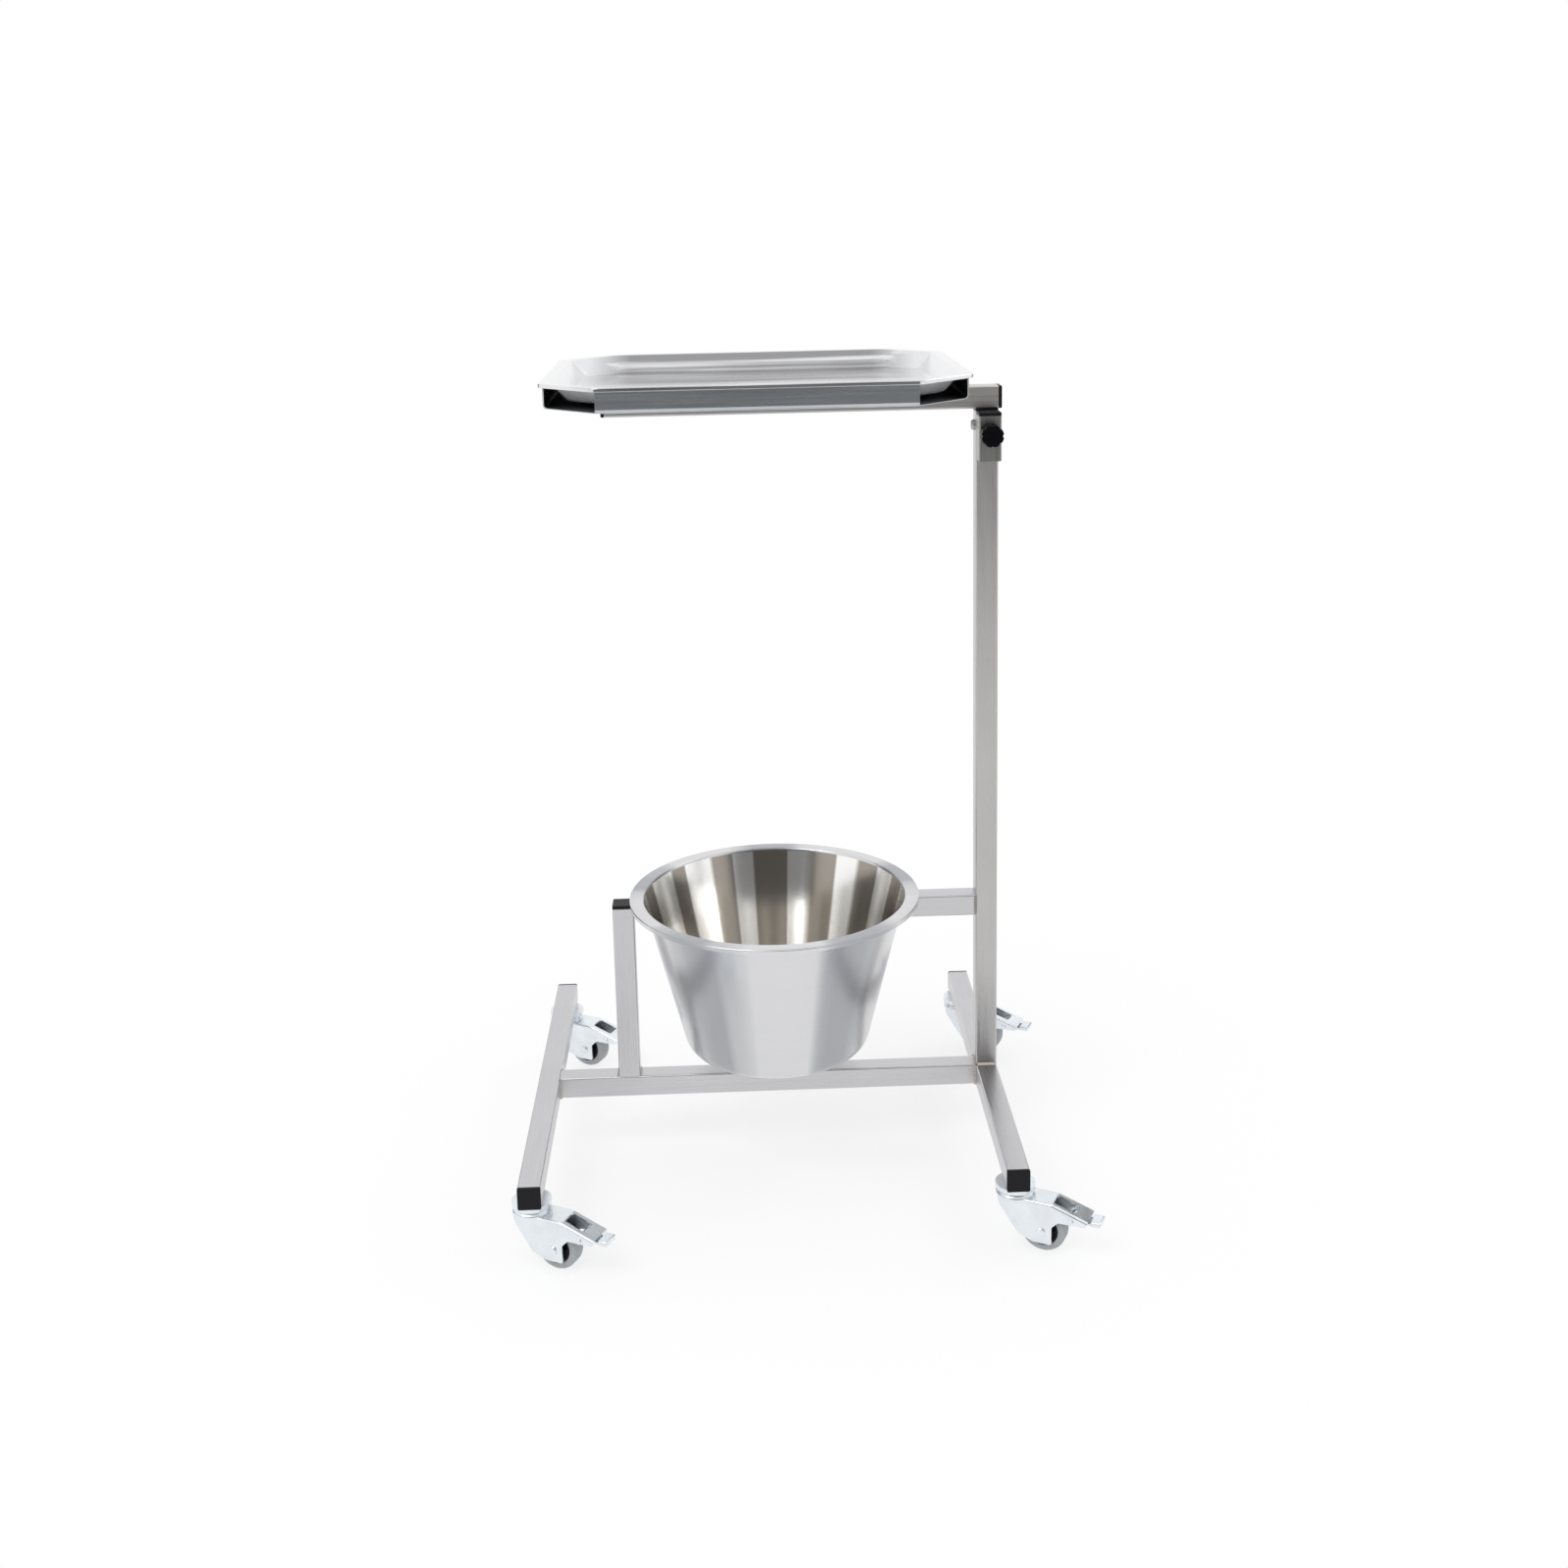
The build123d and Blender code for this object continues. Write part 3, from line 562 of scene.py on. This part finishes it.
def dress_frame():
    """The welded tubes, each ground along its own length, and the sliding post with its arm and holder."""
    spots = weld_points()
    dress("base_bar", brushed_steel("steel_bar", STEEL, "x", heat=[
        (spots["left"], heat_faint), (spots["right"], heat_wide), (spots["post_foot"], heat_faint),
    ]))
    dress("left_foot_tube", brushed_steel("steel_left_foot", STEEL, "y", heat=[(spots["left"], heat_faint)]))
    dress("right_foot_tube", brushed_steel("steel_right_foot", STEEL, "y", heat=[
        (spots["right"], heat_wide), (spots["mast_foot"], heat_mast),
    ]))
    # Painted shade: the mast and the inner post take a darker copy of the steel
    dress("mast_tube", brushed_steel("steel_mast", MAST_STEEL_SHADED, "z", heat=[
        (spots["mast_foot"], heat_wide), (spots["arm"], heat_faint),
    ]))
    dress("bowl_post", brushed_steel("steel_post", STEEL, "z", heat=[(spots["post_foot"], heat_faint)]))
    dress("bowl_arm", brushed_steel("steel_arm", STEEL, "x", heat=[(spots["arm"], heat_faint)]))
    # Painted shade: the boss takes a much darker copy of the steel, and the tray arm a slightly darker one
    dress("clamp_boss", brushed_steel("steel_boss", BOSS_STEEL_SHADED, "z"))
    dress("inner_post", brushed_steel("steel_post_inner", MAST_STEEL_SHADED, "z"))
    dress("tray_arm", brushed_steel("steel_tray_arm", ARM_STEEL_SHADED, "x"))
    dress("tray_holder", folded_sheet("holder_steel", SHEET, SHEET_FOLD_SHADE, SHEET_CUT))
    dress("weld_beads", weld_metal("weld_metal"))


def dress_rest(zinc):
    """The plugs, the knob, the screws and the casters."""
    black = moulded_plastic("plug_plastic", BLACK, 0.42)
    knob = moulded_plastic("knob_plastic", KNOB_BLACK, 0.36, gloss=0.08)
    hub = moulded_plastic("hub_plastic", BLACK, 0.5)
    screw = brushed_steel("screw_steel", SCREW_STEEL, "y", roughness=0.34)
    tyre = tyre_rubber("tyre_rubber", TYRE_GREY)
    for name in nodes:
        if name.endswith("plug") or name in ("mast_bush", "post_glide"):
            dress(name, black)
        elif name.endswith("_hub"):
            dress(name, hub)
        elif name.endswith("_tyre"):
            dress(name, tyre)
        elif "caster" in name or name.endswith("_pedal"):
            dress(name, zinc)
    for name in ("stop_screw", "clamp_stud", "clamp_nut"):
        dress(name, screw)
    dress("clamp_knob", knob)


# Sheet pieces


def rounded(corners):
    """A line through corners, each (across, height, radius), with an arc at each that has a radius."""
    spots = [Vector(corner[:2]) for corner in corners]
    line = [spots[0]]
    for before, here, after, corner in zip(spots, spots[1:], spots[2:], corners[1:]):
        radius = corner[2]
        back = (before - here).normalized()
        ahead = (after - here).normalized()
        half_angle = back.angle(ahead) / 2
        setback = radius / tan(half_angle)
        centre = here + (back + ahead).normalized() * radius / sin(half_angle)
        start = here + back * setback - centre
        end = here + ahead * setback - centre
        for step in range(arc_steps + 1):
            line.append(centre + start.lerp(end, step / arc_steps).normalized() * radius)
    line.append(spots[-1])
    return line


def skin(name, rings, shaders, slot_of_ring=lambda ring: 0):
    """A mesh through rings of points, closed at both ends. Each band of faces may have its own material."""
    sides = len(rings[0])
    points = [point for ring in rings for point in ring]
    faces = []
    slots = []
    for ring in range(len(rings) - 1):
        for side in range(sides):
            near = ring * sides
            far = near + sides
            ahead = (side + 1) % sides
            faces.append((near + side, near + ahead, far + ahead, far + side))
            slots.append(slot_of_ring(ring))
    last = (len(rings) - 1) * sides
    faces.append(tuple(reversed(range(sides))))
    slots.append(slot_of_ring(0))
    faces.append(tuple(range(last, last + sides)))
    slots.append(slot_of_ring(len(rings) - 1))
    mesh = bpy.data.meshes.new(name)
    mesh.from_pydata(points, [], faces)
    for shader in shaders:
        mesh.materials.append(shader)
    mesh.polygons.foreach_set("material_index", slots)
    mesh.shade_smooth()
    mesh.set_sharp_from_angle(angle=sharp_angle)
    mesh.validate()
    piece = bpy.data.objects.new(name, mesh)
    scene.collection.objects.link(piece)
    return piece


def make_bowl():
    """The spun bowl: base, tapered wall, wide rim with a turned-down edge, and the inside again."""
    low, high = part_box("bowl")
    centre = middle("bowl")
    rim_r = (high.x - low.x) / 2
    wall_r = rim_r - bowl_overhang
    mouth_r = rim_r - bowl_rim_width
    under = high.z - bowl_rim_height
    taper = (wall_r - bowl_base_r) / (high.z - low.z - bowl_rim_height)
    inner_wall_r = wall_r - bowl_sheet + taper * bowl_rim_height
    outside = rounded([
        (bowl_hub_r, low.z, 0.0),
        (bowl_base_r, low.z, bowl_base_round),
        (wall_r, under, bowl_neck_round),
        (wall_r + bowl_sheet, high.z - 2 * bowl_sheet, bowl_fold_round),
        (rim_r - bowl_lip, high.z - 2 * bowl_sheet, bowl_lip_round),
        (rim_r - bowl_lip, under, bowl_edge_round),
        (rim_r, under, bowl_edge_round),
        (rim_r, high.z, bowl_rim_round),
        (mouth_r, high.z, bowl_mouth_round),
        (inner_wall_r, high.z - bowl_mouth_depth, 0.0),
    ])
    inside = rounded([
        (inner_wall_r, high.z - bowl_mouth_depth, 0.0),
        (bowl_base_r - bowl_sheet, low.z + bowl_sheet, bowl_base_round - bowl_sheet),
        (bowl_hub_r, low.z + bowl_sheet, 0.0),
    ])
    turns = [2 * pi * side / bowl_sides for side in range(bowl_sides)]
    rings = [
        [(centre.x + radius * cos(turn), centre.y + radius * sin(turn), height) for turn in turns]
        for radius, height in outside[:-1] + inside
    ]
    shaders = (
        spun_steel_with_painted_reflection(
            "bowl_outside", BOWL_STEEL, BOWL_SHADE, centre, roughness=0.24,
            bands=5, phase=0.0, warp=0.5, edges=(-0.2, 0.9), share=0.75,
        ),
        spun_steel_with_painted_reflection(
            "bowl_inside", BOWL_INSIDE, BOWL_INSIDE_SHADE, centre, roughness=0.18,
            bands=14, phase=-pi / 2, warp=1.0, edges=(-0.25, 0.15), share=0.95,
        ),
    )
    first_inside = len(outside) - 1
    bowl = skin("bowl_shell", rings, shaders, lambda ring: int(ring >= first_inside))
    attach(bowl, "bowl")
    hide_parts("bowl")


def tray_ring(centre, size, inset, height):
    """The tray's outline moved inwards: a rectangle with cut corners, each of its eight corners rounded."""
    x = size.x / 2 - inset
    y = size.y / 2 - inset
    cut = tray_chamfer - corner_shrink * inset
    spots = [(x, -y + cut), (x, y - cut), (x - cut, y), (-x + cut, y)]
    spots += [(-px, -py) for px, py in spots]
    ring = []
    for number, here in enumerate(spots):
        before = Vector(spots[number - 1])
        after = Vector(spots[(number + 1) % len(spots)])
        arc = rounded([(*before, 0.0), (*here, tray_corner), (*after, 0.0)])[1:-1]
        ring += [(centre.x + spot.x, centre.y + spot.y, height) for spot in arc]
    return ring


def make_tray():
    """The pressed tray, seen from above and below as one thin shell."""
    low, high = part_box("tray")
    centre = middle("tray")
    size = high - low
    top = high.z
    # The underside's edge moves outwards so that the sloping wall is as thick as the flat sheet
    steepness = tray_draw / tray_slope
    shift = tray_sheet * (sqrt(1 + steepness * steepness) - 1) / steepness
    under_edge = tray_land - shift
    profile = rounded([
        (tray_land + tray_slope + tray_floor_reach, top - tray_draw - tray_sheet, 0.0),
        (under_edge + tray_slope, top - tray_draw - tray_sheet, tray_bottom_r + tray_sheet),
        (under_edge, top - tray_sheet, tray_shoulder_r - tray_sheet),
        (tray_lip_width, top - tray_sheet, tray_fold_r),
        (tray_lip_width, top - tray_lip, tray_cut_r),
        (0.0, top - tray_lip, tray_cut_r),
        (0.0, top, tray_edge_r),
        (tray_land, top, tray_shoulder_r),
        (tray_land + tray_slope, top - tray_draw, tray_bottom_r),
        (tray_land + tray_slope + tray_floor_reach, top - tray_draw, 0.0),
    ])
    rings = [tray_ring(centre, size, inset, height) for inset, height in profile]
    # The underside is the first point and the arcs of the two corners after it
    under_rings = 1 + 2 * (arc_steps + 1)
    shaders = (
        satin_sheet("tray_underside", TRAY_UNDER),
        drawn_sheet_with_painted_reflection("tray_steel", TRAY_STEEL, TRAY_PAINTED_REFLECTION, centre, reflection_reach * size.x / 2),
    )
    tray = skin("tray_shell", rings, shaders, lambda ring: int(ring >= under_rings))
    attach(tray, "tray")
    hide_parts("tray")


def pedal_side():
    """The side of a brake lever: a shoe over the tread, an eye rolled round its pin, and a flat arm."""

    def arc(radius, start, end, steps):
        turns = [radians(start + (end - start) * step / steps) for step in range(steps + 1)]
        return [(pin_along + radius * cos(turn), pin_height + radius * sin(turn)) for turn in turns]

    side = [shoe_tip, shoe_heel, (pin_along, pin_height - pin_eye_r), (arm_end, arm_low), (arm_end, arm_top)]
    side += arc(pin_eye_r, eye_start, eye_opens, steps=8)
    side += arc(pin_hole_r, eye_opens, eye_closes - 360.0, steps=24)
    side += arc(pin_eye_r, eye_closes, eye_end, steps=6)
    return side


def across_caster(name, corner, side, width, rounding, shader):
    """A piece of one caster: a side outline carried across it, with its edges rounded."""
    stem = middle(f"{corner}_caster_mount")
    rings = []
    for across in (-width / 2, width / 2):
        rings.append([
            (
                stem.x + along * cos(caster_turn) - across * sin(caster_turn),
                stem.y + along * sin(caster_turn) + across * cos(caster_turn),
                height,
            )
            for along, height in side
        ])
    piece = skin(name, rings, [shader])
    soften = piece.modifiers.new("round", "BEVEL")
    soften.width = rounding
    soften.segments = round_segments
    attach(piece, f"{corner}_pedal")
    return piece


def make_pedals(shader):
    """Each brake lever and the flat pad on its end."""
    pad_side = ((pad_start, pad_low), (pad_end, pad_low), (pad_end, pad_top), (pad_start, pad_top))
    for end in ("front", "rear"):
        for hand in ("left", "right"):
            corner = f"{end}_{hand}"
            lever = across_caster(
                f"{corner}_pedal_lever", corner, pedal_side(), lever_width, lever_round, shader
            )
            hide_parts(f"{corner}_brake_pedal")
            across_caster(f"{corner}_pedal_pad", corner, pad_side, pad_width, pad_round, shader)


# Studio


def plane_mesh(name, corners, shader):
    mesh = bpy.data.meshes.new(name)
    mesh.from_pydata(corners, [], [tuple(range(len(corners)))])
    mesh.materials.append(shader)
    piece = bpy.data.objects.new(name, mesh)
    scene.collection.objects.link(piece)
    return piece


def add_floor():
    """A pale floor with a painted white glow, weaker near the object, that lightens its shadows and fades
    into the white background.
    """
    shader, tree, surface = material("floor_paint", 0.0, floor_roughness)
    surface.inputs["Base Color"].default_value = (*floor_colour, 1.0)
    surface.inputs["Specular IOR Level"].default_value = floor_gloss
    # Painted light: the floor glows white, at floor_glow near the middle and fully further out, which
    # lightens the shadows
    fade = remap(tree, measure(tree, "LENGTH", own_place(tree)), floor_fade, (floor_glow, 1.0))
    glow = add(tree, "ShaderNodeEmission", Color=(1.0, 1.0, 1.0, 1.0), Strength=1.0)
    mixed = tree.nodes.new("ShaderNodeMixShader")
    tree.links.new(fade, mixed.inputs[0])
    tree.links.new(surface.outputs[0], mixed.inputs[1])
    tree.links.new(glow.outputs[0], mixed.inputs[2])
    tree.links.new(mixed.outputs[0], tree.nodes["Material Output"].inputs["Surface"])
    turns = [2 * pi * side / floor_sides for side in range(floor_sides)]
    corners = [(floor_r * cos(turn), floor_r * sin(turn), 0.0) for turn in turns]
    plane_mesh("floor", corners, shader)


def add_world():
    """White behind the object and in its reflections, softer light elsewhere."""
    world = bpy.data.worlds.new("studio")
    scene.world = world
    world.use_nodes = True
    tree = world.node_tree
    path = tree.nodes.new("ShaderNodeLightPath")
    seen = calc(tree, "MAXIMUM", path.outputs["Is Camera Ray"], path.outputs["Is Glossy Ray"])
    seen = calc(tree, "MAXIMUM", seen, path.outputs["Is Transmission Ray"])
    background = tree.nodes["Background"]
    background.inputs["Color"].default_value = (1.0, 1.0, 1.0, 1.0)
    feed(tree, background.inputs["Strength"], remap(tree, seen, (0.0, 1.0), (room_level, 1.0)))


def add_lamp(name, location, size, level):
    """A square soft lamp that lights the middle of the object as much as a white room of its level would."""
    aim = (Vector(cad_box[0]) + Vector(cad_box[1])) / 2
    spot = Vector(location)
    data = bpy.data.lights.new(name, "AREA")
    data.shape = "SQUARE"
    data.size = size
    data.energy = level * pi**2 * (spot - aim).length_squared
    lamp = bpy.data.objects.new(name, data)
    lamp.location = spot
    lamp.rotation_euler = (spot - aim).to_track_quat("Z", "Y").to_euler()
    scene.collection.objects.link(lamp)


def add_cards():
    """Dark cards round the object, and behind the camera, that only its metal sees."""
    shader, _, surface = material("card_paint", 0.0, card_roughness)
    surface.inputs["Base Color"].default_value = (card_shade, card_shade, card_shade, 1.0)
    for number, card in enumerate(cards):
        angle = radians(card["angle"])
        foot = Vector((cos(angle), sin(angle), 0.0)) * card["distance"]
        across = Vector((-sin(angle), cos(angle), 0.0)) * card["width"] / 2
        low = Vector((0.0, 0.0, card["bottom"]))
        high = Vector((0.0, 0.0, card["top"]))
        corners = [foot - across + low, foot + across + low, foot + across + high, foot - across + high]
        piece = plane_mesh(f"card_{number}", corners, shader)
        piece.visible_camera = False
        piece.visible_diffuse = False
        piece.visible_shadow = False
        piece.visible_transmission = False


def add_camera():
    """The photograph's view, placed from the foot of the mast."""
    mast = middle("mast_tube")
    data = bpy.data.cameras.new("camera")
    data.sensor_width = sensor_mm
    data.lens = lens_px * sensor_mm / image_px
    data.shift_y = -picture_shift
    camera = bpy.data.objects.new("camera", data)
    turn = Matrix.Rotation(camera_yaw, 4, "Z") @ Matrix.Rotation(pi / 2 - camera_pitch, 4, "X")
    spot = Matrix.Translation((mast.x + camera_right, mast.y + camera_back, camera_height))
    camera.matrix_world = spot @ turn @ Matrix.Rotation(-camera_roll, 4, "Z")
    scene.collection.objects.link(camera)
    scene.camera = camera


zinc_metal = zinc_plate("zinc", ZINC)
dress_frame()
dress_rest(zinc_metal)
make_bowl()
make_tray()
make_pedals(zinc_metal)
add_floor()
add_world()
add_lamp("key", key_place, key_size, key_level)
add_lamp("rim", rim_place, rim_size, rim_level)
add_cards()
add_camera()
scene.view_settings.view_transform = "Standard"
